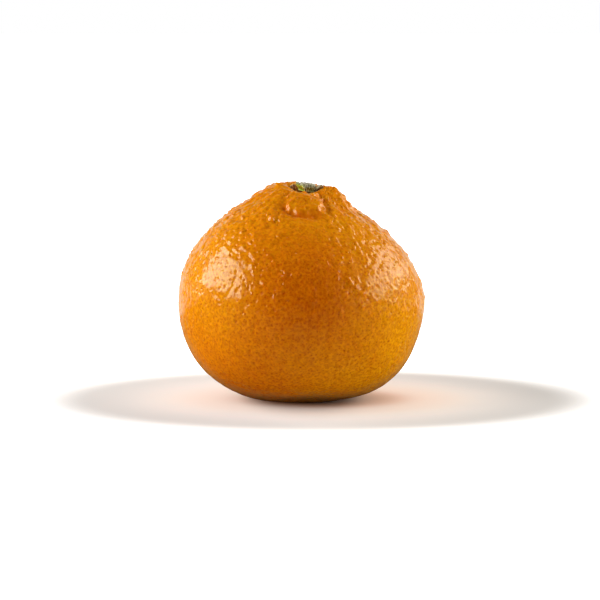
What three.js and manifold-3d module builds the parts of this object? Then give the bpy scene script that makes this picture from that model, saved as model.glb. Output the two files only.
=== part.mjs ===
// A whole mandarin with a neck, resting on a small flat spot, and the dried calyx and cut stalk in
// the seat at the top of the neck. Millimetres, +Z up. The origin is on the flat spot, under the
// middle of the body.
import * as THREE from "three";
import { ConvexGeometry } from "three/addons/geometries/ConvexGeometry.js";
import { mergeVertices } from "three/addons/utils/BufferGeometryUtils.js";
import Module from "manifold-3d";

const wasm = await Module();
wasm.setup();

// ---- Driving dimensions ----

// The body is a squashed ball: a superellipse turned about the vertical axis.
const BODY_RADIUS = 33.5;
const MIDDLE_HEIGHT = 28.0; // of its widest ring
const BODY_RISE = 25.6; // from the widest ring to the top, under the neck
const BODY_DROP = 28.5; // from the widest ring to the bottom, which the flat spot then cuts off
const TOP_FULLNESS = 2.0; // 2 is an ellipse, and more is squarer
const BOTTOM_FULLNESS = 2.36;

// The neck is a soft cone on the body. The shoulders lean to -X, and the neck's top doesn't.
const NECK_HEIGHT = 5.95;
const NECK_SPREAD = 14.6;
const SHOULDER_LEAN = 4.4;

// The seat is the shallow well in the neck's top that holds the calyx.
const SEAT = { x: 1.75, y: 0, z: 57.6, radius: 4.3, flare: 0.5, slopeX: -0.05, slopeY: 0.05 };

// The broad swells and hollows of the body: azimuth and elevation in degrees, height in millimetres
// and the angle that each one spreads over.
const SWELLS = [
  { azimuth: 180, elevation: 52, height: -0.35, spread: 24 },
  { azimuth: 180, elevation: 12, height: -0.9, spread: 20 },
  { azimuth: 180, elevation: -20, height: 0.4, spread: 20 },
  { azimuth: 0, elevation: 60, height: -1.0, spread: 20 },
  { azimuth: 0, elevation: 40, height: 0.3, spread: 20 },
  { azimuth: 0, elevation: 14, height: 0.75, spread: 20 },
  { azimuth: 0, elevation: -20, height: 0.3, spread: 20 },
  { azimuth: 0, elevation: -48, height: 0.6, spread: 20 },
  { azimuth: -90, elevation: -48, height: -1.4, spread: 20 },
];

// The lobes and hollows round the neck's top, at an angle and distance from the seat's axis.
const LOBES = [
  { angle: 0, distance: 0, height: -1.95, size: 4.6 },
  { angle: -90, distance: 4.4, height: -1.0, size: 2.6 },
  { angle: -134, distance: 4.6, height: -1.1, size: 2.3 },
  { angle: -112, distance: 6.8, height: -0.8, size: 2.7 },
  { angle: 178, distance: 6.4, height: 2.25, size: 8.75 },
  { angle: 0, distance: 8.0, height: 2.3, size: 4.2 },
  { angle: 52, distance: 8.0, height: 0.6, size: 4.0 },
  { angle: 122, distance: 8.0, height: 0.5, size: 4.0 },
  { angle: 180, distance: 4.5, height: -1.0, size: 2.2 },
];

// The knob: a low swelling with a fold round the side that it faces, which it rolls out over. Its
// edge reaches further by `corner` near an angle from where it faces, and is a little wavy.
const KNOB = {
  angle: -91,
  distance: 10.2,
  height: 0.8,
  radius: 5.2,
  facing: -101,
  fold: 1.1,
  roll: 0.5,
  corner: 0.26,
  cornerTurn: -0.57,
  cornerSpan: 0.5,
  wavy: 0.03,
};

// The furrows that run down between the lobes, from one place to another.
const FURROWS = [
  { start: [3.4, -3.4], end: [5.7, -12.5], depth: 0.7, width: 1.0 },
  { start: [-4.2, -6.5], end: [-6.8, -14.5], depth: 0.5, width: 1.2 },
  { start: [6.3, -4.9], end: [11.0, -8.6], depth: 0.4, width: 1.4 },
  { start: [4.9, 2.6], end: [11.0, 5.9], depth: 0.6, width: 1.6 },
  { start: [0.2, 5.5], end: [0.5, 13.0], depth: 0.7, width: 1.6 },
  { start: [-5.2, 3.0], end: [-11.7, 6.8], depth: 0.5, width: 1.6 },
];

// The creases that run round the foot of the neck, under its lobes.
const CREASES = [
  { angle: 2, halfSpan: 30, distance: 13.8, depth: 0.5, width: 2.2 },
  { angle: 70, halfSpan: 26, distance: 14.0, depth: 0.6, width: 1.8 },
  { angle: 140, halfSpan: 24, distance: 14.5, depth: 0.4, width: 1.8 },
];

// The rind's uneven surface, as sums of waves, and its pores, which are larger than life.
const BROAD_WAVES = { count: 9, frequency: 4.5, height: 0.28, phase: 1 };
const SHORT_WAVES = { count: 16, frequency: 11, height: 0.12, phase: 2 };
const PORES = { count: 1700, depth: 0.36, uneven: 0.12, crowding: 1.5, jitter: 0.14, seed: 7 };

// The scar where the flower's style was, a dimple beside the middle of the flat spot.
const SCAR = { x: -3.4, y: 2.2, radius: 1.6, depth: 0.5 };

const CALYX = {
  x: 0.35, // from the seat's axis
  radius: 3.4,
  thickness: 1.0,
  edge: 0.6,
  lift: 0.9,
  lobes: 5,
  notch: 0.26,
  turn: -132,
};
const STUB = { radius: 2.0, foot: 2.2, height: 0.8, hollow: 0.15 };
const GAP = 0.3; // between pieces that touch
const ROUND_SIDES = 60;

// ---- Helpers ----

const radians = THREE.MathUtils.degToRad;
const GOLDEN_TURN = Math.PI * (3 - Math.sqrt(5));

// 0 at `from`, 1 at `to` and smooth between them, whichever is larger.
function smooth(from, to, value) {
  const t = THREE.MathUtils.clamp((value - from) / (to - from), 0, 1);
  return t * t * (3 - 2 * t);
}

// The same angle, in radians, between minus and plus half a turn.
function withinHalfTurn(angle) {
  return Math.atan2(Math.sin(angle), Math.cos(angle));
}

// The seeded random numbers that the pores are shifted by.
function randomSource(seed) {
  let state = seed;
  return () => {
    state = (state * 1664525 + 1013904223) % 4294967296;
    return state / 4294967296;
  };
}

// Direction i of `count` spread evenly over a sphere along a spiral from the top. A crowding over 1
// brings them closer together at the top.
function spiralDirection(i, count, crowding = 1) {
  const z = 1 - 2 * ((i + 0.5) / count) ** crowding;
  const spread = Math.sqrt(1 - z * z);
  return new THREE.Vector3(spread * Math.cos(i * GOLDEN_TURN), spread * Math.sin(i * GOLDEN_TURN), z);
}

// The direction at an azimuth and elevation in degrees.
function toward(azimuth, elevation) {
  const level = Math.cos(radians(elevation));
  return new THREE.Vector3(
    level * Math.cos(radians(azimuth)),
    level * Math.sin(radians(azimuth)),
    Math.sin(radians(elevation)),
  );
}

// A sum of waves that run in many directions, about 1 high.
function ripple(direction, { count, frequency, phase }) {
  let sum = 0;
  for (let j = 0; j < count; j++) {
    const own = frequency * (0.7 + 0.6 * ((j * 0.618034 + phase * 0.37) % 1));
    sum += Math.cos(own * direction.dot(spiralDirection(j, count)) + 2.4 * j + phase);
  }
  return sum * Math.sqrt(2 / count);
}

// The solid that a closed geometry encloses, for cutting.
function solidOf(geometry) {
  const bare = new THREE.BufferGeometry().setAttribute("position", geometry.getAttribute("position"));
  const merged = mergeVertices(bare.setIndex(geometry.index), 1e-4);
  return new wasm.Manifold(
    new wasm.Mesh({
      numProp: 3,
      vertProperties: merged.attributes.position.array,
      triVerts: new Uint32Array(merged.index.array),
    }),
  );
}

function geometryOf(solid) {
  const mesh = solid.getMesh();
  const geometry = new THREE.BufferGeometry();
  geometry.setAttribute("position", new THREE.BufferAttribute(new Float32Array(mesh.vertProperties), 3));
  geometry.setIndex(new THREE.BufferAttribute(mesh.triVerts, 1));
  geometry.computeVertexNormals();
  return geometry;
}

// A profile of [radius, height] points turned about +Z.
function turned(profile, sides = ROUND_SIDES) {
  const points = profile.map(([radius, height]) => new THREE.Vector2(radius, height));
  return new THREE.LatheGeometry(points, sides).rotateX(Math.PI / 2);
}

// ---- The fruit ----

// The rind is smooth where it rests, and uneven everywhere else.
function unevenShare(direction) {
  return smooth(-0.965, -0.88, direction.z);
}

// Where the body's own surface is in a direction from its middle.
function bodyRadius(direction) {
  const spread = Math.hypot(direction.x, direction.y) / BODY_RADIUS;
  const level = Math.abs(direction.z) / (direction.z > 0 ? BODY_RISE : BODY_DROP);
  const fullness = THREE.MathUtils.lerp(TOP_FULLNESS, BOTTOM_FULLNESS, smooth(0.15, -0.6, direction.z));
  let radius = (spread ** fullness + level ** fullness) ** (-1 / fullness);
  const uneven = unevenShare(direction);
  radius += uneven * BROAD_WAVES.height * ripple(direction, BROAD_WAVES);
  radius += uneven * SHORT_WAVES.height * ripple(direction, SHORT_WAVES);
  for (const { azimuth, elevation, height, spread: angle } of SWELLS) {
    const cosine = direction.dot(toward(azimuth, elevation));
    radius += height * Math.exp((cosine - 1) / radians(angle) ** 2);
  }
  return radius;
}

// The knob's height at x, y from the seat's axis, and how far it rolls out there.
function knobRelief(x, y) {
  const dx = x - KNOB.distance * Math.cos(radians(KNOB.angle));
  const dy = y - KNOB.distance * Math.sin(radians(KNOB.angle));
  const away = Math.hypot(dx, dy);
  const turn = withinHalfTurn(Math.atan2(dy, dx) - radians(KNOB.facing));
  const outer = smooth(0.3, 0.85, Math.cos(turn));
  const corner = KNOB.corner * Math.exp(-(((turn - KNOB.cornerTurn) / KNOB.cornerSpan) ** 2));
  const past = away - KNOB.radius * (1 + corner + KNOB.wavy * Math.sin(7 * turn));
  const dome = KNOB.height * smooth(KNOB.radius + 0.4, 0.3 * KNOB.radius, away);
  const fold = KNOB.fold * outer * Math.exp(-((past / (past < 0 ? 1.0 : 1.6)) ** 2));
  const rolled = (KNOB.roll * outer * Math.exp(-(((past + 1.2) / 1.3) ** 2))) / (away + 0.1);
  return new THREE.Vector3(dx * rolled, dy * rolled, dome - fold);
}

// How far the lobes, knob, furrows and creases move the neck's surface at x, y from the seat's axis.
function neckRelief(x, y) {
  const move = new THREE.Vector3();
  for (const { angle, distance, height, size } of LOBES) {
    const dx = x - distance * Math.cos(radians(angle));
    const dy = y - distance * Math.sin(radians(angle));
    move.z += height * Math.exp(-(dx * dx + dy * dy) / (size * size));
  }
  move.add(knobRelief(x, y));
  for (const { start, end, depth, width } of FURROWS) {
    const length = Math.hypot(end[0] - start[0], end[1] - start[1]);
    const c = (end[0] - start[0]) / length;
    const s = (end[1] - start[1]) / length;
    const along = (x - start[0]) * c + (y - start[1]) * s;
    const across = (y - start[1]) * c - (x - start[0]) * s;
    const ends = smooth(-2, 1.5, along) * smooth(length + 3, length - 2, along);
    move.z -= depth * ends * Math.exp(-((across / width) ** 2));
  }
  for (const { angle, halfSpan, distance, depth, width } of CREASES) {
    const turn = withinHalfTurn(Math.atan2(y, x) - radians(angle));
    const away = THREE.MathUtils.radToDeg(Math.abs(turn));
    const across = (Math.hypot(x, y) - distance) / width;
    move.z -= depth * smooth(1.3 * halfSpan, 0.5 * halfSpan, away) * Math.exp(-(across ** 2));
  }
  return move;
}

// The point of the rind in a direction from the body's middle, sunk in by `pore`.
function rindPoint(direction, pore) {
  const point = direction.clone().multiplyScalar(bodyRadius(direction));
  const upper = smooth(0, 0.35, direction.z);
  const climb = Math.max(0, point.z / BODY_RISE);
  point.x -= SHOULDER_LEAN * climb ** 1.5 * smooth(4, 15, Math.hypot(point.x, point.y));
  const x = point.x - SEAT.x * upper;
  const y = point.y - SEAT.y * upper;
  const fromAxis = Math.hypot(x, y);
  point.z += MIDDLE_HEIGHT;
  point.z += upper * NECK_HEIGHT * Math.exp(-(fromAxis ** 2) / (2 * NECK_SPREAD ** 2));
  point.addScaledVector(neckRelief(x, y), upper);
  const shown = smooth(5, 9, fromAxis + 30 * (1 - upper)) * unevenShare(direction);
  return point.addScaledVector(direction, -pore * shown);
}

// The rind's mesh: pores joined to their neighbours, then each joint turned to run between the
// crests, so that every pore is a pit with about six crests round it.
function rindGeometry() {
  const random = randomSource(PORES.seed);
  const pores = [];
  for (let i = 0; i < PORES.count; i++) {
    const direction = spiralDirection(i, PORES.count, PORES.crowding);
    const shift = new THREE.Vector3(random() - 0.5, random() - 0.5, random() - 0.5);
    const spacing = Math.sqrt((4 * Math.PI) / PORES.count);
    const crowded = smooth(-0.5, 1, direction.z);
    shift.multiplyScalar(2 * PORES.jitter * spacing * (1 - 0.6 * crowded));
    pores.push(direction.add(shift).normalize());
  }
  const hull = new ConvexGeometry(pores);
  hull.deleteAttribute("normal");
  const net = mergeVertices(hull, 1e-5);
  const places = net.attributes.position;
  const corners = net.index.array;
  const vertices = [];
  for (let i = 0; i < places.count; i++) {
    const direction = new THREE.Vector3().fromBufferAttribute(places, i).normalize();
    vertices.push(...rindPoint(direction, PORES.depth + PORES.uneven * (2 * random() - 1)));
  }
  const crestOf = new Map();
  for (let t = 0; t < corners.length; t += 3) {
    const [a, b, c] = corners.slice(t, t + 3);
    const middle = new THREE.Vector3();
    for (const corner of [a, b, c]) {
      middle.add(new THREE.Vector3().fromBufferAttribute(places, corner));
    }
    const crest = vertices.length / 3;
    vertices.push(...rindPoint(middle.normalize(), 0));
    for (const [from, to] of [[a, b], [b, c], [c, a]]) crestOf.set(from + " " + to, crest);
  }
  const index = [];
  for (const [edge, crest] of crestOf) {
    const [from, to] = edge.split(" ").map(Number);
    index.push(from, crestOf.get(to + " " + from), crest);
  }
  const geometry = new THREE.BufferGeometry();
  geometry.setAttribute("position", new THREE.Float32BufferAttribute(vertices, 3));
  geometry.setIndex(index);
  return geometry;
}

// The well that is cut out of the neck's top, in the seat's own frame.
function seatCutter() {
  const top = 8;
  return turned([
    [0, 0],
    [SEAT.radius - SEAT.flare, 0],
    [SEAT.radius, SEAT.flare],
    [SEAT.radius + SEAT.flare, top],
    [0, top],
  ]);
}

// The slab that is cut off the bottom, which leaves the flat spot.
function slabCutter() {
  const slab = 4;
  return new THREE.BoxGeometry(4 * BODY_RADIUS, 4 * BODY_RADIUS, slab).translate(0, 0, -slab / 2);
}

// What the scar takes out of the flat spot.
function scarCutter() {
  const cutter = turned(
    [
      [0, -1],
      [SCAR.radius, -1],
      [SCAR.radius, 0],
      [SCAR.radius * 0.6, SCAR.depth],
      [0, SCAR.depth],
    ],
    18,
  );
  return cutter.translate(SCAR.x, SCAR.y, 0);
}

// ---- The calyx and the stub ----

// How far the calyx reaches at an angle, from 0 in the notches to 1 at the lobes' tips.
function lobeShare(angle) {
  return Math.abs(Math.cos((CALYX.lobes / 2) * (angle - radians(CALYX.turn)))) ** 0.7;
}

// A thick five-lobed star whose tips lift off the seat.
function calyxGeometry() {
  const { radius, thickness, edge, lift, notch } = CALYX;
  const under = [0, 0.3, 0.6, 0.85, 1].map((share) => [share * radius, 0]);
  const over = [1, 0.85, 0.7, 0.5, 0.3, 0].map((share) => [
    share * radius,
    THREE.MathUtils.lerp(thickness, edge, share),
  ]);
  const geometry = turned([...under, ...over]);
  const place = geometry.attributes.position;
  for (let i = 0; i < place.count; i++) {
    const x = place.getX(i);
    const y = place.getY(i);
    const share = Math.hypot(x, y) / radius;
    const lobe = lobeShare(Math.atan2(y, x));
    const reach = 1 - notch * (1 - lobe) * smooth(0.2, 1, share);
    const rise = lift * lobe * share ** 3;
    place.setXYZ(i, x * reach, y * reach, place.getZ(i) + rise);
  }
  return geometry;
}

// The cut end of the stalk: a stub with a wider foot and a slightly hollow top.
function stubGeometry() {
  return turned(
    [
      [0, 0],
      [STUB.foot, 0],
      [STUB.radius, 0.4 * STUB.height],
      [STUB.radius, 0.85 * STUB.height],
      [0.8 * STUB.radius, STUB.height],
      [0, STUB.height - STUB.hollow],
    ],
    30,
  );
}

// ---- Assembly ----

const rind = new THREE.MeshStandardMaterial({ color: 0xe08a10, roughness: 0.4, metalness: 0 });
const sepal = new THREE.MeshStandardMaterial({ color: 0x6f6a3a, roughness: 0.8, metalness: 0 });
const stalk = new THREE.MeshStandardMaterial({ color: 0x9a9470, roughness: 0.85, metalness: 0 });

// The seat's frame: its origin in the middle of the well's floor, tilted with the floor.
const crown = new THREE.Group();
crown.position.set(SEAT.x, SEAT.y, SEAT.z);
crown.rotation.set(Math.atan(SEAT.slopeY), -Math.atan(SEAT.slopeX), 0);
crown.updateMatrixWorld(true);

const fruitSolid = solidOf(rindGeometry())
  .subtract(solidOf(seatCutter().applyMatrix4(crown.matrixWorld)))
  .subtract(solidOf(slabCutter()))
  .subtract(solidOf(scarCutter()));
const fruit = new THREE.Mesh(geometryOf(fruitSolid), rind);
fruit.name = "fruit";

const calyx = new THREE.Mesh(calyxGeometry(), sepal);
calyx.name = "calyx";
calyx.position.set(CALYX.x, 0, GAP);

const stub = new THREE.Mesh(stubGeometry(), stalk);
stub.name = "stem_stub";
stub.position.set(CALYX.x, 0, GAP + CALYX.thickness + GAP);

crown.add(calyx, stub);
const mandarin = new THREE.Group();
mandarin.add(fruit, crown);

export default mandarin;
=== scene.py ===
"""A whole mandarin with a neck, resting on its flat spot, with a dried calyx and a cut stalk.

The rind, calyx and stub replace the CAD solids. Shapes are worked out in millimetres, in the CAD
part's frame, and made in metres. Colours are linear red, green and blue.
"""

import math

import bmesh
import bpy
import numpy as np
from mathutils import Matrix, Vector


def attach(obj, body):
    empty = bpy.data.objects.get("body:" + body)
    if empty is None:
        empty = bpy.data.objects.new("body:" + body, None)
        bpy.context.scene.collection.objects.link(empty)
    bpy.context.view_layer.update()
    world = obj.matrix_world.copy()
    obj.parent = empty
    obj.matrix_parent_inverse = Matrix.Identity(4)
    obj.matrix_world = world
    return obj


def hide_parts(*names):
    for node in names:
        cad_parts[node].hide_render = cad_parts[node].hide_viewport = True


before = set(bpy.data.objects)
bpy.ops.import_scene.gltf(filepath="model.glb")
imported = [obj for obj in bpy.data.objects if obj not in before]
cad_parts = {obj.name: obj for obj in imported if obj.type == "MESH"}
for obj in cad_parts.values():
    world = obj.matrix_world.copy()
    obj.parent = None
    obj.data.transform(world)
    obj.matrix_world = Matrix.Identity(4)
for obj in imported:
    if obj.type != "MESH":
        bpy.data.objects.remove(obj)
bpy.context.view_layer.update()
MM = 0.001

# ---- The rind's driving dimensions ----

# They are the CAD part's, but for a softer knob, a lower rim in front of the calyx, a shallower
# second furrow, and softer edges of the seat and the scar.

BODY_RADIUS = 33.5
MIDDLE_HEIGHT = 28.0
BODY_RISE = 25.6
BODY_DROP = 28.5
TOP_FULLNESS = 2.0
BOTTOM_FULLNESS = 2.36
NECK_HEIGHT = 5.95
NECK_SPREAD = 14.6
SHOULDER_LEAN = 4.4
LEAN_STARTS, LEAN_IS_FULL = 4, 15
SEAT_X, SEAT_Y, SEAT_Z = 1.75, 0.0, 57.6
SEAT_RADIUS, SEAT_WALL = 3.75, 0.6
SEAT_SLOPE_X, SEAT_SLOPE_Y = -0.05, 0.05
SEAT_RIB_COUNT, SEAT_RIB_HEIGHT = 9, 0.14

# Azimuth and elevation in degrees, height, and the angle each one spreads over.
SWELLS = [
    (180, 52, -0.35, 24),
    (180, 12, -0.9, 20),
    (180, -20, 0.4, 20),
    (0, 60, -1.0, 20),
    (0, 40, 0.3, 20),
    (0, 14, 0.75, 20),
    (0, -20, 0.3, 20),
    (0, -48, 0.6, 20),
    (-90, -48, -1.4, 20),
]

# Angle in degrees and distance from the seat's axis, height and size.
LOBES = [
    (0, 0, -1.95, 4.6),
    (-90, 4.4, -1.0, 2.6),
    (-134, 4.6, -1.1, 2.3),
    (-112, 6.8, -0.8, 2.7),
    (-95, 7.2, -0.5, 1.5),
    (178, 6.4, 2.25, 8.75),
    (0, 8.0, 2.3, 4.2),
    (52, 8.0, 0.6, 4.0),
    (122, 8.0, 0.5, 4.0),
    (180, 4.5, -1.0, 2.2),
]

# The knob: a low swelling with a fold round the side that it faces, which it rolls out over. Its
# edge reaches further by KNOB_CORNER near an angle from where it faces, and is a little wavy.
KNOB_ANGLE, KNOB_DISTANCE = -91, 10.2
KNOB_HEIGHT, KNOB_RADIUS = 0.85, 5.2
KNOB_SLOPE_STARTS, KNOB_SLOPE_ENDS = 0.2 * KNOB_RADIUS, KNOB_RADIUS + 1.5
KNOB_FACING, KNOB_ROLL = -101, 0.5
KNOB_CORNER, CORNER_TURN, CORNER_SPAN = 0.2, -0.57, 0.5
KNOB_WAVY, KNOB_WAVES = 0.03, 7
FOLD_DEPTH, FOLD_INNER_WIDTH, FOLD_OUTER_WIDTH = 1.1, 1.0, 1.6

# Where each one starts and ends from the seat's axis, its depth and its width.
FURROWS = [
    ((3.4, -3.4), (5.7, -12.5), 0.7, 1.0),
    ((-4.2, -6.5), (-6.8, -14.5), 0.35, 1.3),
    ((6.3, -4.9), (11.0, -8.6), 0.4, 1.4),
    ((4.9, 2.6), (11.0, 5.9), 0.6, 1.6),
    ((0.2, 5.5), (0.5, 13.0), 0.7, 1.6),
    ((-5.2, 3.0), (-11.7, 6.8), 0.5, 1.6),
]

# Angle, half span in degrees, distance, depth and width.
CREASES = [
    (2, 30, 13.8, 0.5, 2.2),
    (70, 26, 14.0, 0.6, 1.8),
    (140, 24, 14.5, 0.4, 1.8),
]

# How much painted fold shade a furrow and a crease get, for each millimetre of their depth.
FURROW_FOLD_SHADE, CREASE_FOLD_SHADE = 0.5, 0.3

# The dimple in the flat spot, where the flower's style was.
SCAR_X, SCAR_Y, SCAR_RADIUS, SCAR_DEPTH = -3.4, 2.2, 1.8, 0.5

# Count, frequency, phase and height.
BROAD_WAVES = (9, 4.5, 1, 0.28)
SHORT_WAVES = (16, 11, 2, 0.12)

GOLDEN_RATIO = 0.618034
GOLDEN_TURN = math.pi * (3 - math.sqrt(5))


def smooth(start, end, value):
    """0 at start, 1 at end and smooth between them."""
    t = np.clip((value - start) / (end - start), 0, 1)
    return t * t * (3 - 2 * t)


def cylindrical(radius, angle, height):
    return np.stack([radius * np.cos(angle), radius * np.sin(angle), height], axis=-1)


def spiral(count, crowding=1.0):
    """Directions spread over a sphere, closer together at the top if crowding is over 1."""
    i = np.arange(count)
    z = 1 - 2 * ((i + 0.5) / count) ** crowding
    return cylindrical(np.sqrt(1 - z * z), i * GOLDEN_TURN, z)


def ripple(direction, count, frequency, phase):
    """A sum of waves that run in many directions, about 1 high."""
    total = np.zeros(len(direction))
    for j, axis in enumerate(spiral(count)):
        own = frequency * (0.7 + 0.6 * ((j * GOLDEN_RATIO + phase * 0.37) % 1))
        total += np.cos(own * (direction @ axis) + 2.4 * j + phase)
    return total * math.sqrt(2 / count)


def uneven_share(direction):
    """How much of the rind's unevenness shows: none on the flat spot, and all of it higher up."""
    return smooth(-0.965, -0.88, direction[:, 2])


def toward(azimuth, elevation):
    a, e = math.radians(azimuth), math.radians(elevation)
    return np.array([math.cos(e) * math.cos(a), math.cos(e) * math.sin(a), math.sin(e)])


def soft_spot(direction, azimuth, elevation, height, spread):
    """A round spot on the sphere that fades out over an angle in degrees."""
    cosine = direction @ toward(azimuth, elevation)
    return height * np.exp((cosine - 1) / math.radians(spread) ** 2)


def body_radius(direction):
    """How far the body's surface is from its middle. It is squarer below than above."""
    x, y, z = direction.T
    spread = np.hypot(x, y) / BODY_RADIUS
    level = np.abs(z) / np.where(z > 0, BODY_RISE, BODY_DROP)
    fullness = TOP_FULLNESS + (BOTTOM_FULLNESS - TOP_FULLNESS) * smooth(0.15, -0.6, z)
    radius = (spread**fullness + level**fullness) ** (-1 / fullness)
    for count, frequency, phase, height in (BROAD_WAVES, SHORT_WAVES):
        radius += uneven_share(direction) * height * ripple(direction, count, frequency, phase)
    for swell in SWELLS:
        radius += soft_spot(direction, *swell)
    return radius


def offset(x, y, angle, distance):
    """x and y as seen from a point at an angle in degrees and a distance."""
    a = math.radians(angle)
    return x - distance * math.cos(a), y - distance * math.sin(a)


def knob_relief(x, y):
    """The knob's height, how far it rolls out over its fold along x and y, and how folded it is.

    How folded it is sets the painted shade in the fold.
    """
    dx, dy = offset(x, y, KNOB_ANGLE, KNOB_DISTANCE)
    away = np.hypot(dx, dy)
    turn = np.angle((dx + 1j * dy) * np.exp(-1j * math.radians(KNOB_FACING)))
    outer = smooth(0.3, 0.85, np.cos(turn))
    corner = KNOB_CORNER * np.exp(-(((turn - CORNER_TURN) / CORNER_SPAN) ** 2))
    past = away - KNOB_RADIUS * (1 + corner + KNOB_WAVY * np.sin(KNOB_WAVES * turn))
    dome = KNOB_HEIGHT * smooth(KNOB_SLOPE_ENDS, KNOB_SLOPE_STARTS, away)
    fold = outer * np.exp(-((past / np.where(past < 0, FOLD_INNER_WIDTH, FOLD_OUTER_WIDTH)) ** 2))
    rolled = KNOB_ROLL * outer * np.exp(-(((past + 1.2) / 1.3) ** 2)) / (away + 0.1)
    return dome - FOLD_DEPTH * fold, dx * rolled, dy * rolled, fold


def furrow_share(x, y, start, end, width):
    """1 along a straight furrow's middle, and 0 past its ends and its sides."""
    length = math.hypot(end[0] - start[0], end[1] - start[1])
    c, s = (end[0] - start[0]) / length, (end[1] - start[1]) / length
    along = (x - start[0]) * c + (y - start[1]) * s
    across = (y - start[1]) * c - (x - start[0]) * s
    # It fades in over 3.5 mm and out over 5 mm.
    ends = smooth(-2, 1.5, along) * smooth(length + 3, length - 2, along)
    return ends * np.exp(-((across / width) ** 2))


def crease_share(x, y, angle, half_span, distance, width):
    """1 along the middle of a crease round the seat's axis, and 0 past its ends and its sides."""
    turn = np.arctan2(y, x) - math.radians(angle)
    away = np.degrees(np.abs(np.arctan2(np.sin(turn), np.cos(turn))))
    across = (np.hypot(x, y) - distance) / width
    return smooth(1.3 * half_span, 0.5 * half_span, away) * np.exp(-(across**2))


def neck_relief(x, y):
    """How far the neck at x, y from the seat's axis is raised and moved, and how folded it is.

    How folded it is sets the painted shade in the folds.
    """
    height = np.zeros(len(x))
    for angle, distance, rise, size in LOBES:
        dx, dy = offset(x, y, angle, distance)
        height += rise * np.exp(-(dx**2 + dy**2) / size**2)
    up, move_x, move_y, fold = knob_relief(x, y)
    height += up
    for start, end, depth, width in FURROWS:
        furrow = furrow_share(x, y, start, end, width)
        height -= depth * furrow
        fold += FURROW_FOLD_SHADE * depth * furrow
    for angle, half_span, distance, depth, width in CREASES:
        crease = crease_share(x, y, angle, half_span, distance, width)
        height -= depth * crease
        fold += CREASE_FOLD_SHADE * depth * crease
    return height, move_x, move_y, fold


def rind_surface(direction):
    """The rind's points, without pores, in directions from the body's middle.

    Each point comes with its x, y and distance from the seat's axis, the share of the neck's
    shape that it takes, and how folded it is, which sets the painted shade in the folds.
    """
    point = direction * body_radius(direction)[:, None]
    upper = smooth(0, 0.35, direction[:, 2])
    climb = np.clip(point[:, 2] / BODY_RISE, 0, None)
    spread = np.hypot(point[:, 0], point[:, 1])
    point[:, 0] -= SHOULDER_LEAN * climb**1.5 * smooth(LEAN_STARTS, LEAN_IS_FULL, spread)
    x = point[:, 0] - SEAT_X * upper
    y = point[:, 1] - SEAT_Y * upper
    from_axis = np.hypot(x, y)
    z = point[:, 2] + MIDDLE_HEIGHT
    z += upper * NECK_HEIGHT * np.exp(-(from_axis**2) / (2 * NECK_SPREAD**2))
    height, move_x, move_y, fold = neck_relief(x, y)
    point[:, 0] += upper * move_x
    point[:, 1] += upper * move_y
    point[:, 2] = z + upper * height
    return point, x, y, from_axis, upper, upper * np.clip(fold, 0, 1)


def wrinkle(angle, height, count, phase):
    """Ribs round an axis that waver as the height changes, from -1 to 1."""
    return np.sin(count * angle + 1.7 * np.sin(2.3 * height + phase) + phase)


def with_seat(point, x, y, from_axis, upper):
    """The rind's points with the uneven, ribbed well that the calyx sits in."""
    angle = np.arctan2(y, x)
    ribs = smooth(0.8, 2.6, from_axis) * wrinkle(angle, from_axis, SEAT_RIB_COUNT, 1.0)
    floor = SEAT_Z + SEAT_SLOPE_X * x + SEAT_SLOPE_Y * y + SEAT_RIB_HEIGHT * ribs
    edge = 1 + 0.04 * np.cos(3 * angle) + 0.04 * np.cos(4 * angle) + 0.02 * np.sin(7 * angle)
    inside = smooth(SEAT_RADIUS + SEAT_WALL, SEAT_RADIUS, from_axis / edge) * upper
    point = point.copy()
    point[:, 2] = point[:, 2] * (1 - inside) + floor * inside
    return point, inside


# ---- The net of pores and the rind's low relief ----

# Sizes are in millimetres. The jitter is a share of the pores' spacing. Scatters are in radians.
RIND_SEED = 11
PORE_COUNT = 11000
PORE_CROWDING = 1.12
PORE_JITTER = 0.38
PORE_DEPTH = 0.28
PORE_LEAST_DEPTH = 0.1
PORE_SHADES = (0.65, 0.95)
PORE_SHADE_LOST_ON_NECK = 0.6
NEIGHBOUR_DEPTH, NEIGHBOUR_SHADE = 0.5, 0.3
WART_COUNT = 2000
WART_CROWDING = 1.35
WART_SCATTER = 0.11
WART_HEIGHT = 0.38
WART_WIDTH = 0.44
WART_HEIGHT_SHARES, WART_WIDTH_SHARES = (0.3, 1.0), (0.7, 1.3)
DENT_COUNT = 320
DENT_CROWDING = 1.7
DENT_SCATTER = 0.15
DENT_DEPTH = 0.11
DENT_DEPTH_SHARES = (0.5, 1.0)
DENT_HALF_LENGTHS = (0.9, 2.8)
DENT_WIDTHS = (0.35, 0.7)
DENT_BEND = 3
GROOVE_BEND = 1.5
NEAR_COSINE = 0.9

# Count, frequency, phase and height of the waves in the skin, and how much of them shows where.
SKIN_WAVES = [(26, 30, 3, 0.03), (34, 58, 4, 0.035), (40, 96, 5, 0.025)]
WAVES_BELOW, WAVES_ABOVE, WAVES_ON_NECK = 0.35, 0.65, 0.8

# How much lower the warts are in smooth patches, and higher in rough ones.
CALM_WARTS, ROUGH_WARTS = 0.7, 0.5

# Azimuth and elevation, how much yellower than the rest, and the angle each one spreads over.
# Those at 180 and -130 degrees are painted light where the left lamp lights and shines; the
# others are the rind's own colour.
BLUSHES_AND_LIT_PATCHES = [
    (-10, -15, 0.75, 40),
    (180, 5, 0.35, 25),
    (-90, 8, -0.25, 22),
    (-135, -40, -0.2, 25),
    (-90, 80, 0.15, 20),
    (-130, 12, 0.4, 22),
    (-90, -30, 0.22, 17),
]
COMMON_YELLOW = 0.25
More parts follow.
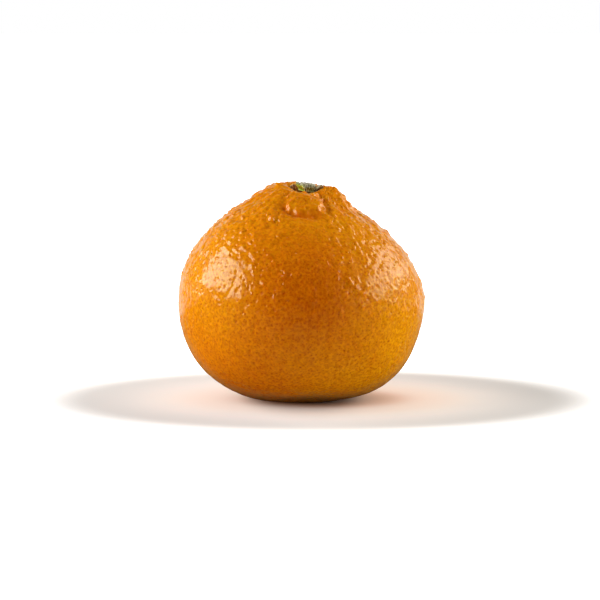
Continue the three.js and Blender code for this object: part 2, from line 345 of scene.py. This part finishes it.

# The same for patches of painted shade, a deeper orange where shade falls, and for how smooth
# and how rough the rind is.
PAINTED_SHADE_PATCHES = [(-86, 12, 0.75, 17), (-84, 3, 0.3, 12), (-125, -38, 0.6, 20), (60, 20, 0.5, 30)]
SMOOTH_PATCHES = [
    (-132, 23, 0.78, 14),
    (-115, 14, 0.7, 11),
    (-36, 24, 0.5, 10),
    (-45, 42, 0.45, 13),
]
ROUGH_PATCHES = [
    (-112, 54, 0.8, 13),
    (-60, 62, 0.6, 11),
    (-52, 10, 0.4, 12),
    (-104, 16, 0.7, 9),
]

# Azimuth and elevation of each end, depth and width.
GROOVES = [((-119, 17), (-125, 7), 0.16, 0.5), ((-98, 26), (-104, 31), 0.12, 0.6)]


def hull_faces(points):
    """The triangles of the points' convex hull, which on a sphere join each to its neighbours."""
    mesh = bmesh.new()
    for point in points:
        mesh.verts.new(point)
    bmesh.ops.convex_hull(mesh, input=mesh.verts)
    mesh.verts.index_update()
    faces = np.array([[v.index for v in face.verts] for face in mesh.faces])
    mesh.free()
    return faces


def turn_edges(points, faces):
    """Adds each triangle's centre, and turns the old edges to run between the centres."""
    count = len(points)
    centres = points[faces].mean(axis=1)
    centres /= np.linalg.norm(centres, axis=1)[:, None]
    start = faces.ravel()
    end = faces[:, [1, 2, 0]].ravel()
    owner = np.repeat(np.arange(len(faces)), 3)
    key = start.astype(np.int64) * count + end
    order = np.argsort(key)
    twin = order[np.searchsorted(key[order], end.astype(np.int64) * count + start)]
    turned = np.stack([start, count + owner[twin], count + owner], axis=-1)
    return np.concatenate([points, centres]), turned


def vertex_normals(points, faces):
    corners = points[faces]
    face_normal = np.cross(corners[:, 1] - corners[:, 0], corners[:, 2] - corners[:, 0])
    normal = np.zeros_like(points)
    for k in range(3):
        np.add.at(normal, faces[:, k], face_normal)
    return normal / np.linalg.norm(normal, axis=1)[:, None]


def add_object(name, data):
    made = bpy.data.objects.new(name, data)
    bpy.context.scene.collection.objects.link(made)
    return made


def make_mesh(name, points, faces, attributes):
    """A smooth-shaded object from points in millimetres, with float attributes on its points."""
    mesh = bpy.data.meshes.new(name)
    mesh.from_pydata((points * MM).tolist(), [], [list(map(int, face)) for face in faces])
    mesh.polygons.foreach_set("use_smooth", [True] * len(mesh.polygons))
    for label, values in attributes.items():
        layer = mesh.attributes.new(label, "FLOAT", "POINT")
        layer.data.foreach_set("value", np.asarray(values, dtype=np.float32))
    mesh.update()
    return add_object(name, mesh)


def warts(direction, rng):
    """Small raised spots, most of them on the shoulders and the neck."""
    raised = np.zeros(len(direction))
    for spot in spiral(WART_COUNT, WART_CROWDING):
        middle = spot + rng.normal(0, WART_SCATTER, 3)
        middle /= np.linalg.norm(middle)
        height = rng.uniform(*WART_HEIGHT_SHARES) * WART_HEIGHT * smooth(-0.4, 0.5, middle[2])
        width = rng.uniform(*WART_WIDTH_SHARES) * WART_WIDTH / BODY_RADIUS
        if height > 0:
            raised += height * np.exp((direction @ middle - 1) / width**2)
    return raised


def trough(direction, middle, along, half, width, bend):
    """A short bent groove in the sphere, 1 deep along its middle."""
    u = direction @ along
    v = direction @ np.cross(middle, along) + bend * u**2
    near = direction @ middle > NEAR_COSINE
    return near * np.exp(-((u / half) ** 4) - (v / width) ** 2)


def dents(direction, rng):
    """Short shallow grooves that run every way, and mostly round the neck where they are on it."""
    sunk = np.zeros(len(direction))
    for spot in spiral(DENT_COUNT, DENT_CROWDING):
        middle = spot + rng.normal(0, DENT_SCATTER, 3)
        middle /= np.linalg.norm(middle)
        along = np.cross(middle, rng.normal(0, 1, 3) + [0, 0, 3 * smooth(0.4, 0.8, middle[2])])
        along /= np.linalg.norm(along)
        half = rng.uniform(*DENT_HALF_LENGTHS) / BODY_RADIUS
        width = rng.uniform(*DENT_WIDTHS) / BODY_RADIUS
        bend = rng.uniform(-DENT_BEND, DENT_BEND)
        share = rng.uniform(*DENT_DEPTH_SHARES)
        sunk += share * trough(direction, middle, along, half, width, bend)
    return DENT_DEPTH * sunk


def grooves(direction):
    """The longer grooves on the side."""
    sunk = np.zeros(len(direction))
    for start, end, depth, width in GROOVES:
        a, b = toward(*start), toward(*end)
        half = np.linalg.norm(b - a) / 2
        along = (b - a) / (2 * half)
        width /= BODY_RADIUS
        sunk += depth * trough(direction, (a + b) / 2, along, half, width, GROOVE_BEND)
    return sunk


def patches(direction, spots, start=0.0):
    """A share from 0 to 1 that differs from `start` in soft round spots."""
    share = np.full(len(direction), start)
    for spot in spots:
        share += soft_spot(direction, *spot)
    return np.clip(share, 0, 1)


def pore_net(rng):
    """Directions and triangles with a point at each pore and at the crests between the pores.

    They come with which pores are in the net, and with how many points are pores or crests.
    """
    pores = spiral(PORE_COUNT, PORE_CROWDING)
    spacing = math.sqrt(4 * math.pi / PORE_COUNT)
    pores += rng.uniform(-1, 1, pores.shape) * PORE_JITTER * spacing
    pores /= np.linalg.norm(pores, axis=1)[:, None]
    faces = hull_faces(pores)
    # The hull leaves out a few pores that lie almost on another.
    kept = np.unique(faces)
    points, faces = turn_edges(pores[kept], np.searchsorted(kept, faces))
    crests_end = len(points)
    points, faces = turn_edges(points, faces)
    return points, faces, kept, crests_end


def pore_shares(faces, kept, crests_end, count, rng):
    """How deep and how dark each pore is, and what its near neighbours share of it."""
    own_depth = PORE_LEAST_DEPTH + rng.random(PORE_COUNT)[kept] ** 4
    own_shade = np.maximum(rng.uniform(*PORE_SHADES, PORE_COUNT)[kept], own_depth)
    shares = []
    for own, neighbour in ((own_depth, NEIGHBOUR_DEPTH), (own_shade, NEIGHBOUR_SHADE)):
        share = np.zeros(count)
        share[: len(kept)] = own
        for k in range(3):
            a, b = faces[:, k], faces[:, (k + 1) % 3]
            near = (a < len(kept)) & (b >= crests_end)
            share[b[near]] = neighbour * own[a[near]]
        shares.append(share)
    return shares


def neck_share(direction):
    """0 on the sides and below, and 1 on the neck."""
    return smooth(0.25, 0.8, direction[:, 2])


def skin_relief(direction, off_seat, depth, rng):
    """How far the skin's waves, warts, dents, grooves and pores raise the rind."""
    above = smooth(-0.45, 0.35, direction[:, 2])
    rough_share = WAVES_BELOW + WAVES_ABOVE * above + WAVES_ON_NECK * neck_share(direction)
    calm = patches(direction, SMOOTH_PATCHES)
    rough = patches(direction, ROUGH_PATCHES)
    rough_share = rough_share * (1 - calm) + rough
    wart_share = (1 - CALM_WARTS * calm + ROUGH_WARTS * rough) * off_seat
    relief = rough_share * sum(height * ripple(direction, *wave) for *wave, height in SKIN_WAVES)
    relief += wart_share * warts(direction, rng)
    relief -= off_seat * dents(direction, rng) + grooves(direction) + PORE_DEPTH * depth
    return relief


def make_rind():
    """The rind, with the shades that its material reads."""
    rng = np.random.default_rng(RIND_SEED)
    net, faces, kept, crests_end = pore_net(rng)
    point, x, y, from_axis, upper, fold = rind_surface(net)
    surface, inside = with_seat(point, x, y, from_axis, upper)
    normal = vertex_normals(surface, faces)
    depth, spots = pore_shares(faces, kept, crests_end, len(net), rng)

    # Far from the seat, the distance from its axis doesn't count.
    below_neck = 30 * (1 - upper)
    off_seat = smooth(SEAT_RADIUS + 1, SEAT_RADIUS + 4, from_axis + below_neck)
    shown = uneven_share(net) * (1 - inside)
    surface = surface + normal * (skin_relief(net, off_seat, depth, rng) * shown)[:, None]
    surface[:, 2] = np.maximum(surface[:, 2], 0)
    from_scar = np.hypot(surface[:, 0] - SCAR_X, surface[:, 1] - SCAR_Y)
    scar = smooth(SCAR_RADIUS, 0.5 * SCAR_RADIUS, from_scar) * (net[:, 2] < -NEAR_COSINE)
    surface[:, 2] += SCAR_DEPTH * scar
    neck = neck_share(net)
    shades = {
        "gland": depth * shown,
        "spots": spots * (1 - PORE_SHADE_LOST_ON_NECK * neck),
        "neck": neck,
        "yellow_and_lit": patches(net, BLUSHES_AND_LIT_PATCHES, COMMON_YELLOW),
        "painted_shade": patches(net, PAINTED_SHADE_PATCHES),
        "fold": fold,
        "seat": inside,
        "scar": scar,
    }
    return make_mesh("rind", surface, faces, shades)


# ---- The calyx and the stub ----

CALYX_X = 0.35
CALYX_SLOPE_X, CALYX_SLOPE_Y = -0.12, 0.03
CALYX_RINGS, CALYX_SIDES = 60, 360
CUP_RADIUS, CUP_HEIGHT = 2.35, 0.9
SEPAL_THICKNESS = 0.38
STUB_RINGS, STUB_SIDES = 60, 240

# Each sepal's angle, how far its tip reaches, how high it stands and how fresh it still is.
SEPALS = [
    (-134, 3.6, 1.95, 1.0),
    (-70, 3.0, 1.7, 0.2),
    (-12, 4.0, 2.45, 0.0),
    (80, 3.2, 1.9, 0.1),
    (158, 3.2, 2.2, 0.3),
]

# From under to over: the share of the way round, and the shares of the reach and of the height.
CALYX_PROFILE = [
    (0, 0.1, 0.1),
    (0.12, 0.85, 0.1),
    (0.2, 0.0, 0.25),
    (0.45, 0.9, 0.92),
    (0.5, 1.0, 1.0),
    (0.55, 0.93, 0.96),
    (0.8, 0.0, 0.55),
    (0.88, 0.7, 0.5),
    (1, 0.1, 0.5),
]

# The same, with the radius and the height in millimetres.
STUB_PROFILE = [
    (0, 2.05, 0.55),
    (0.4, 2.1, 1.9),
    (0.5, 2.05, 2.2),
    (0.56, 1.92, 2.26),
    (0.7, 1.4, 2.14),
    (0.85, 0.7, 2.2),
    (1, 0.05, 2.26),
]

# How many ribs go round, and their phase.
COARSE_RIBS = (30, 0.4)
FINE_RIBS = (53, 2)
TIP_RIBS = (23, 1.0)
STUB_LUMPS = (11, 0.5)
STUB_RIBS = (26, 2.5)


def seat_frame(points):
    """Points in the seat's own frame, in millimetres, moved to where the seat is."""
    x, y, z = points.T
    lifted = SEAT_Z + z + CALYX_SLOPE_X * x + CALYX_SLOPE_Y * y
    return np.stack([x + SEAT_X + CALYX_X, y + SEAT_Y, lifted], axis=-1)


def at_profile(profile, t):
    """A profile's radius and height at t."""
    stops, radius, height = zip(*profile)
    return np.interp(t, stops, radius), np.interp(t, stops, height)


def polar_sheet(rings, sides, place):
    """A closed form from rings of points: place(t, angle) for t from 0, under, to 1, over."""
    t = np.linspace(0, 1, rings)
    angle = np.arange(sides) * 2 * math.pi / sides
    grid_t, grid_a = np.meshgrid(t, angle, indexing="ij")
    points = place(grid_t.ravel(), grid_a.ravel())
    under, over = len(points), len(points) + 1
    last = (rings - 1) * sides
    pairs = [(j, (j + 1) % sides) for j in range(sides)]
    faces = []
    for ring in range(0, last, sides):
        faces += [[ring + j, ring + k, ring + sides + k, ring + sides + j] for j, k in pairs]
    for j, k in pairs:
        faces += [[under, k, j], [over, last + j, last + k]]
    ends = [points[:sides].mean(axis=0), points[-sides:].mean(axis=0)]
    return np.concatenate([points, ends]), faces


def nearest_sepal(angle):
    """For each angle: how far into a sepal it is (1 at its middle), and that sepal's values."""
    middles = np.radians([sepal[0] for sepal in SEPALS])
    turn = np.abs(np.angle(np.exp(1j * (angle[:, None] - middles[None]))))
    first, second = np.sort(turn, axis=1)[:, :2].T
    values = np.array(SEPALS)[turn.argmin(axis=1)]
    return (second - first) / (second + first), values[:, 1], values[:, 2], values[:, 3]


def calyx_point(t, angle):
    """Points on the cup and the sepals, with t from the foot, through the tips, to the floor."""
    share, tip, stand, _ = nearest_sepal(angle)
    in_sepal = np.sqrt(smooth(0.0, 0.5, share))
    reach = CUP_RADIUS + (tip - CUP_RADIUS) * in_sepal
    top = CUP_HEIGHT + (stand - CUP_HEIGHT) * in_sepal * (0.75 + 0.25 * share)
    out, up = at_profile(CALYX_PROFILE, t)
    # The cup's foot and its floor don't follow the sepals.
    wall = (t > 0.16) & (t < 0.84)
    radius = np.where(wall, CUP_RADIUS + (reach - CUP_RADIUS) * out, CUP_RADIUS * out)
    radius -= SEPAL_THICKNESS * (smooth(0.5, 0.56, t) * smooth(0.9, 0.8, t))
    height = up * top
    ribbed = smooth(0.2, 0.3, t) * smooth(0.62, 0.5, t)
    coarse, fine = (wrinkle(angle, height, *ribs) for ribs in (COARSE_RIBS, FINE_RIBS))
    radius += ribbed * (0.07 * coarse + 0.05 * fine)
    height += ribbed * 0.1 * wrinkle(angle, height, *TIP_RIBS) * in_sepal
    return cylindrical(radius, angle, height)


def make_calyx():
    points, faces = polar_sheet(CALYX_RINGS, CALYX_SIDES, calyx_point)
    x, y, z = points.T
    angle = np.arctan2(y, x)
    share, _, _, fresh = nearest_sepal(angle)
    shades = {
        "fresh": fresh,
        "margin": smooth(0.42, 0.2, share),
        "cleft": smooth(0.16, 0.04, share),
        "rib": 0.5 + 0.3 * wrinkle(angle, z, *COARSE_RIBS) + 0.2 * wrinkle(angle, z, *FINE_RIBS),
        "high": z / 2,
    }
    return make_mesh("calyx_sepals", seat_frame(points), faces, shades)


def stub_point(t, angle):
    """Points on the stub, with t from the foot, up the side and over the cut face."""
    radius, height = at_profile(STUB_PROFILE, t)
    edge = smooth(0.2, 0.45, t) * smooth(1.0, 0.6, t)
    uneven = 0.04 * np.cos(3 * angle + 1) + 0.025 * np.cos(7 * angle) + 0.02 * np.cos(19 * angle)
    radius *= 1 + edge * uneven
    lumps, ribs = (wrinkle(angle, radius, *waves) for waves in (STUB_LUMPS, STUB_RIBS))
    height += edge * (0.05 * lumps + 0.05 * ribs)
    return cylindrical(radius, angle, height)


def make_stub():
    points, faces = polar_sheet(STUB_RINGS, STUB_SIDES, stub_point)
    x, y, _ = points.T
    grain = 0.5 + 0.5 * wrinkle(np.arctan2(y, x), np.hypot(x, y), *STUB_RIBS)
    return make_mesh("stem_end", seat_frame(points), faces, {"rib": grain})


# ---- Materials ----

BLACK, WHITE = (0, 0, 0), (1, 1, 1)

PEEL_ORANGE, PEEL_YELLOW = (0.79, 0.205, 0.001), (0.87, 0.355, 0.0015)
# A deeper orange for painted shade.
PEEL_PAINTED_SHADE = (0.66, 0.155, 0.0008)
PEEL_SPOT = (0.46, 0.05, 0.0003)
# Painted shade in the folds, furrows and creases.
PEEL_FOLD_SHADE = (0.66, 0.12, 0.001)
# A painted sheen: paler towards the rind's edges.
PEEL_PAINTED_SHEEN = (0.93, 0.46, 0.15)
MOTTLE_DARK, MOTTLE_PALE = (0.9, 0.82, 0.8), (1.08, 1.17, 1.1)
LIP_COLOUR = (0.80, 0.42, 0.06)
# The well's dark brown: partly the rind's own colour there, partly painted shade in the hollow.
WELL_DARK, WELL_PALE = (0.2, 0.05, 0.004), (0.42, 0.15, 0.016)
SCAR_COLOUR = (0.20, 0.10, 0.03)

DRY_DARK, DRY_PALE = (0.10, 0.07, 0.012), (0.58, 0.50, 0.26)
FRESH_DARK, FRESH_PALE = (0.44, 0.55, 0.008), (0.80, 0.90, 0.10)
MARGIN_COLOUR = (0.95, 0.90, 0.38)
# Painted shade in the clefts between the sepals.
CLEFT_SHADE_COLOUR = (0.05, 0.03, 0.004)
# Paler grey on the dry sepals' tops: their dry grey, and painted light on the tops.
GREY_LIT_TOP_COLOUR = (0.42, 0.38, 0.24)
CORK_DARK, CORK_PALE = (0.16, 0.13, 0.05), (0.62, 0.57, 0.38)
CORK_GREY = (0.44, 0.39, 0.42)

# How strongly the colours of the marks show.
SPOT_STRENGTH, SPECKLE_STRENGTH, SPECKLE_ON_NECK = 0.52, 0.36, 0.45
FOLD_SHADE_STRENGTH, PAINTED_SHEEN_STRENGTH = 0.75, 0.55
CLEFT_SHADE_STRENGTH, GREY_LIT_TOP_STRENGTH, GREY_STRENGTH = 0.9, 0.6, 0.7

FLOOR_DARK, FLOOR_PALE = (0.69, 0.67, 0.64), (0.71, 0.69, 0.66)
# Warmer floor near the fruit for the camera: painted orange bounce light in its shadow.
FLOOR_PAINTED_BOUNCE = (0.74, 0.58, 0.48)
# The floor as bounced light sees it, darker near the fruit: painted shade on the fruit's underside.
BOUNCE_PAINTED_SHADE, BOUNCE_FAR = (0.25, 0.25, 0.25), (0.76, 0.76, 0.76)
# The glow's colours near the fruit, warm and orange at its foot: painted bounce light.
GLOW_WARM, GLOW_ORANGE = (1, 0.89, 0.8), (1, 0.42, 0.2)


class Nodes:
    """A node tree, with a method for each kind of node that is used often."""

    def __init__(self, tree):
        self.tree = tree
        tree.nodes.clear()

    def add(self, kind, inputs=None, **settings):
        """Adds a node. Its kind is the name of its type after ShaderNode."""
        made = self.tree.nodes.new("ShaderNode" + kind)
        for name, value in settings.items():
            setattr(made, name, value)
        self.feed(made, inputs or {})
        return made

    def feed(self, node, inputs):
        """Gives inputs of the node, by name or number, a link or a value. Colours have no alpha."""
        for name, value in inputs.items():
            socket = node.inputs[name]
            if isinstance(value, bpy.types.NodeSocket):
                self.tree.links.new(value, socket)
            elif socket.type == "RGBA":
                socket.default_value = (*value, 1)
            else:
                socket.default_value = value

    def position(self):
        return self.add("TexCoord").outputs["Object"]

    def noise(self, scale, detail):
        """Noise over the object, with scale in cycles per millimetre."""
        inputs = {"Vector": self.position(), "Scale": scale / MM, "Detail": detail}
        return self.add("TexNoise", inputs).outputs["Fac"]

    def cells(self, scale):
        """The distance from the nearest middle of uneven cells, so many per millimetre."""
        inputs = {"Vector": self.position(), "Scale": scale / MM, "Randomness": 0.8}
        return self.add("TexVoronoi", inputs).outputs["Distance"]

    def attribute(self, name):
        return self.add("Attribute", attribute_name=name).outputs["Fac"]

    def ramp(self, value, low, high, to_low=0.0, to_high=1.0):
        """Goes smoothly from to_low at low to to_high at high, and stays there past them."""
        inputs = {"Value": value, "From Min": low, "From Max": high}
        inputs |= {"To Min": to_low, "To Max": to_high}
        return self.add("MapRange", inputs, interpolation_type="SMOOTHSTEP").outputs["Result"]

    def mix(self, factor, a, b, blend="MIX"):
        inputs = {0: factor, 6: a, 7: b}
        return self.add("Mix", inputs, data_type="RGBA", blend_type=blend).outputs[2]

    def times(self, a, b):
        return self.add("Math", {0: a, 1: b}, operation="MULTIPLY").outputs[0]

    def plus(self, a, b):
        return self.add("Math", {0: a, 1: b}, operation="ADD").outputs[0]

    def split(self, vector):
        return self.add("SeparateXYZ", {"Vector": vector}).outputs

    def bump(self, scale, detail, strength, distance):
        """Noise as a bump that is so many millimetres high."""
        inputs = {"Height": self.noise(scale, detail)}
        inputs |= {"Strength": strength, "Distance": distance * MM}
        return self.add("Bump", inputs).outputs["Normal"]


def new_material(name):
    material = bpy.data.materials.new(name)
    material.use_nodes = True
    nodes = Nodes(material.node_tree)
    output = nodes.add("OutputMaterial")
    shader = nodes.add("BsdfPrincipled")
    nodes.feed(output, {"Surface": shader.outputs["BSDF"]})
    return material, nodes, shader


def peel_colour(nodes, seat):
    """Orange skin with dark pores, yellower patches, brown folds, a paler edge, and the seat and
    the scar.

    The brown in the folds, the deeper orange patches and part of the well's dark are painted shade;
    the paler edge is a painted sheen, and the yellower patches under the left lamp are painted
    light.
    """
    ramp, mix, noise, attribute = nodes.ramp, nodes.mix, nodes.noise, nodes.attribute
    # Yellower patches: the rind's own colour, and painted light under the left lamp.
    yellow_and_lit = nodes.plus(attribute("yellow_and_lit"), ramp(noise(0.07, 4), 0.3, 0.7, -0.12, 0.12))
    colour = mix(yellow_and_lit, PEEL_ORANGE, PEEL_YELLOW)
    # Patches of painted shade: a deeper orange.
    colour = mix(attribute("painted_shade"), colour, PEEL_PAINTED_SHADE)
    speckle = ramp(nodes.cells(1.4), 0.55, 0.1, 0.0, SPECKLE_STRENGTH)
    speckle = nodes.times(speckle, ramp(attribute("neck"), 0.0, 1.0, 1.0, SPECKLE_ON_NECK))
    spots = nodes.plus(nodes.times(attribute("spots"), SPOT_STRENGTH), speckle)
    colour = mix(spots, colour, PEEL_SPOT)
    mottle = mix(ramp(noise(1.15, 3), 0.35, 0.65), MOTTLE_DARK, MOTTLE_PALE)
    colour = mix(1.0, colour, mottle, "MULTIPLY")
    # Painted shade in the folds, furrows and creases.
    colour = mix(nodes.times(attribute("fold"), FOLD_SHADE_STRENGTH), colour, PEEL_FOLD_SHADE)
    # A painted sheen: paler towards the edges, where the rind turns away.
    facing = nodes.add("LayerWeight").outputs["Facing"]
    colour = mix(ramp(facing, 0.55, 1.0, 0.0, PAINTED_SHEEN_STRENGTH), colour, PEEL_PAINTED_SHEEN)
    frayed = nodes.times(seat, ramp(noise(0.7, 3), 0.3, 0.7, 0.3, 2.2))
    # The well: dark brown, partly its own colour and partly painted shade in the hollow.
    well = mix(ramp(noise(1.1, 4), 0.35, 0.65), WELL_DARK, WELL_PALE)
    colour = mix(ramp(frayed, 0.0, 0.04), colour, LIP_COLOUR)
    colour = mix(ramp(frayed, 0.06, 0.35), colour, well)
    return mix(attribute("scar"), colour, SCAR_COLOUR)


def peel_material():
    material, nodes, shader = new_material("peel_wax")
    ramp = nodes.ramp
    seat = nodes.attribute("seat")
    roughness = ramp(nodes.noise(0.5, 3), 0.3, 0.7, 0.13, 0.2)
    sunk = nodes.plus(nodes.attribute("gland"), nodes.times(seat, 4.0))
    gloss = ramp(sunk, 0.4, 1.0, 0.5, 0.04)
    gloss = nodes.times(gloss, ramp(nodes.attribute("spots"), 0.3, 0.9, 1.0, 0.3))
    surface = {
        "Base Color": peel_colour(nodes, seat),
        "Roughness": nodes.plus(roughness, nodes.times(seat, 0.7)),
        "Specular IOR Level": gloss,
        "IOR": 1.43,
        "Specular Tint": (0.85, 1.0, 0.75),
        "Subsurface Weight": 0.2,
        "Subsurface Radius": (1.0, 0.35, 0.06),
        "Subsurface Scale": 1.4 * MM,
        "Normal": nodes.bump(3.2, 3, 0.25, 0.05),
    }
    nodes.feed(shader, surface)
    return material


def sepal_material():
    material, nodes, shader = new_material("calyx_dry")
    ramp, mix, attribute = nodes.ramp, nodes.mix, nodes.attribute
    rib = nodes.plus(attribute("rib"), ramp(nodes.noise(0.9, 4), 0.3, 0.7, -0.35, 0.35))
    rib = ramp(rib, 0.1, 0.9)
    fresh = mix(attribute("margin"), mix(rib, FRESH_DARK, FRESH_PALE), MARGIN_COLOUR)
    colour = mix(attribute("fresh"), mix(rib, DRY_DARK, DRY_PALE), fresh)
    # Painted shade in the clefts between the sepals.
    colour = mix(nodes.times(attribute("cleft"), CLEFT_SHADE_STRENGTH), colour, CLEFT_SHADE_COLOUR)
    # Paler grey on the dry sepals' tops: their dry grey, and painted light on the tops.
    dry = ramp(attribute("fresh"), 0.9, 0.3)
    grey_lit_top = nodes.times(ramp(attribute("high"), 0.7, 1.0, 0.0, GREY_LIT_TOP_STRENGTH), dry)
    surface = {
        "Base Color": mix(grey_lit_top, colour, GREY_LIT_TOP_COLOUR),
        "Roughness": 0.55,
        "Normal": nodes.bump(2.5, 4, 0.4, 0.15),
    }
    nodes.feed(shader, surface)
    return material


def stalk_material():
    material, nodes, shader = new_material("stalk_cork")
    ramp, mix, noise = nodes.ramp, nodes.mix, nodes.noise
    grain = nodes.plus(nodes.attribute("rib"), ramp(noise(1.4, 4), 0.3, 0.7, -0.4, 0.4))
    colour = mix(ramp(grain, 0.1, 1.0), CORK_DARK, CORK_PALE)
    grey = ramp(noise(0.45, 2), 0.5, 0.65, 0.0, GREY_STRENGTH)
    surface = {
        "Base Color": mix(grey, colour, CORK_GREY),
        "Roughness": 0.7,
        "Normal": nodes.bump(3.5, 4, 0.5, 0.12),
    }
    nodes.feed(shader, surface)
    return material


def floor_material():
    """A white floor that glows for the camera, warmer near the fruit, and mirrors as a gleam.

    Near the fruit the warmth and part of the glow are painted bounce light that lifts its shadow,
    and bounced light sees a darker floor there, painted shade under the fruit. Distances here are
    in metres.
    """
    material, nodes, shader = new_material("floor_white")
    ramp, mix = nodes.ramp, nodes.mix
    paths = nodes.add("LightPath").outputs
    seen, mirrored = paths["Is Camera Ray"], paths["Is Glossy Ray"]
    squeezed = nodes.add(
        "VectorMath",
        {0: nodes.position(), 1: (0.55, 1, 1), 2: (-0.003, 0, 0)},
        operation="MULTIPLY_ADD",
    ).outputs["Vector"]
    reach = nodes.add("VectorMath", {0: squeezed}, operation="LENGTH").outputs["Value"]

    colour = mix(ramp(nodes.noise(0.01, 2), 0.3, 0.7), FLOOR_DARK, FLOOR_PALE)
    # Warmer near the fruit: painted orange bounce light.
    colour = mix(ramp(reach, 0.026, 0.012), colour, FLOOR_PAINTED_BOUNCE)
    # Darker near the fruit for bounced light: painted shade on the fruit's underside.
    bounced = mix(ramp(reach, 0.012, 0.03), BOUNCE_PAINTED_SHADE, BOUNCE_FAR)
    colour = mix(mirrored, mix(seen, bounced, colour), BLACK)

    # A glow near the fruit is painted light that lifts its shadow; further out the floor glows
    # evenly white.
    near = nodes.plus(ramp(reach, 0.005, 0.017, 0, 0.38), ramp(reach, 0.02, 0.036, 0, -0.24))
    far = nodes.plus(near, ramp(reach, 0.035, 0.05))
    behind = nodes.split(nodes.position())["Y"]
    gleam = nodes.times(ramp(behind, 0.05, 0.15, 0.0, 0.7), mirrored)
    glow = mix(ramp(reach, 0.035, 0.02), WHITE, GLOW_WARM)
    surface = {
        "Base Color": colour,
        "Roughness": 0.6,
        "Specular IOR Level": 0,
        "Emission Strength": nodes.plus(nodes.times(far, seen), gleam),
        # Orange at the fruit's foot and warm near it: painted bounce light.
        "Emission Color": mix(ramp(reach, 0.015, 0.007), glow, GLOW_ORANGE),
    }
    nodes.feed(shader, surface)
    return material


# ---- The set: floor, light and camera ----

# The camera's elevation is in degrees, and its other numbers are in millimetres.
CAMERA_ELEVATION = 9
CAMERA_DISTANCE = 550
CAMERA_LENS = 119.87
CAMERA_TARGET = (0.07, 0, 27.65)

# The floor's and the lamps' numbers are in metres.
FLOOR_HALF = 4.0
LAMP_DISTANCE = 0.8
LAMP_TARGET = Vector((0, 0, 0.03))
WARM = (1.0, 0.94, 0.82)

# The world's light from behind, above and the right, and the part that gloss mirrors from behind.
LIGHT_BEHIND, LIGHT_ABOVE, LIGHT_RIGHT, GLOSS_BEHIND = 0.48, 0.16, 2.9, 0.8

# Each lamp's name, the way to it, its width and height, its power and its colour.
LAMPS = [
    ("softbox_left", (-0.89, -0.08, 0.405), (0.8, 0.46), 8.3, WHITE),
    ("softbox_right", (0.78, 0.4, 0.43), (0.42, 0.32), 1.75, WARM),
    ("softbox_front_right", (0.91, -0.04, 0.41), (0.3, 0.25), 0.9, WARM),
]


def make_floor():
    mesh = bpy.data.meshes.new("floor")
    corners = [(-1, -1), (1, -1), (1, 1), (-1, 1)]
    corners = [(FLOOR_HALF * x, FLOOR_HALF * y, 0) for x, y in corners]
    mesh.from_pydata(corners, [], [(0, 1, 2, 3)])
    made = add_object("floor", mesh)
    made.data.materials.append(floor_material())


def aim(thing, target):
    direction = target - thing.location
    thing.rotation_euler = direction.to_track_quat("-Z", "Y").to_euler()


def make_softbox(name, direction, size, power, colour):
    lamp = bpy.data.lights.new(name, "AREA")
    lamp.shape = "RECTANGLE"
    lamp.size, lamp.size_y = size
    lamp.energy = power
    lamp.color = colour
    made = add_object(name, lamp)
    made.location = LAMP_TARGET + Vector(direction).normalized() * LAMP_DISTANCE
    aim(made, LAMP_TARGET)


def make_world():
    """White to the camera, and soft light that differs for the rind's colour and its gloss."""
    world = bpy.data.worlds.new("studio")
    bpy.context.scene.world = world
    world.use_nodes = True
    nodes = Nodes(world.node_tree)
    ramp = nodes.ramp
    way = nodes.split(nodes.add("TexCoord").outputs["Generated"])
    ambient = ramp(way["Y"], -0.27, 0.9, 0.0, LIGHT_BEHIND)
    ambient = nodes.plus(ambient, ramp(way["Z"], 0.5, 1.0, 0.0, LIGHT_ABOVE))
    ambient = nodes.plus(ambient, ramp(way["X"], 0.5, 1.0, 0.0, LIGHT_RIGHT))
    gleam = ramp(way["Y"], 0.72, 1.0, 0.0, GLOSS_BEHIND)
    gleam = nodes.times(ramp(way["Z"], 0.5, 0.15), gleam)
    paths = nodes.add("LightPath").outputs
    level = nodes.mix(paths["Is Glossy Ray"], ambient, gleam)
    colour = nodes.mix(paths["Is Camera Ray"], level, WHITE)
    back = nodes.add("Background", {"Color": colour, "Strength": 1.0})
    nodes.add("OutputWorld", {"Surface": back.outputs["Background"]})


def make_camera():
    data = bpy.data.cameras.new("camera")
    data.lens = CAMERA_LENS
    data.sensor_width = 36
    data.clip_start = 0.01
    made = add_object("camera", data)
    target = Vector(CAMERA_TARGET) * MM
    e = math.radians(CAMERA_ELEVATION)
    back = Vector((0, -math.cos(e), math.sin(e)))
    made.location = target + back * CAMERA_DISTANCE * MM
    aim(made, target)
    bpy.context.scene.camera = made


def dress(piece, material, node):
    """Gives a piece its material, and says which body it rides on and which node it replaces."""
    piece.data.materials.append(material)
    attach(piece, "root")
    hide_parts(node)


make_camera()
make_world()
make_floor()
for lamp in LAMPS:
    make_softbox(*lamp)
bpy.context.scene.view_settings.view_transform = "Standard"
dress(make_rind(), peel_material(), "fruit")
dress(make_calyx(), sepal_material(), "calyx")
dress(make_stub(), stalk_material(), "stem_stub")
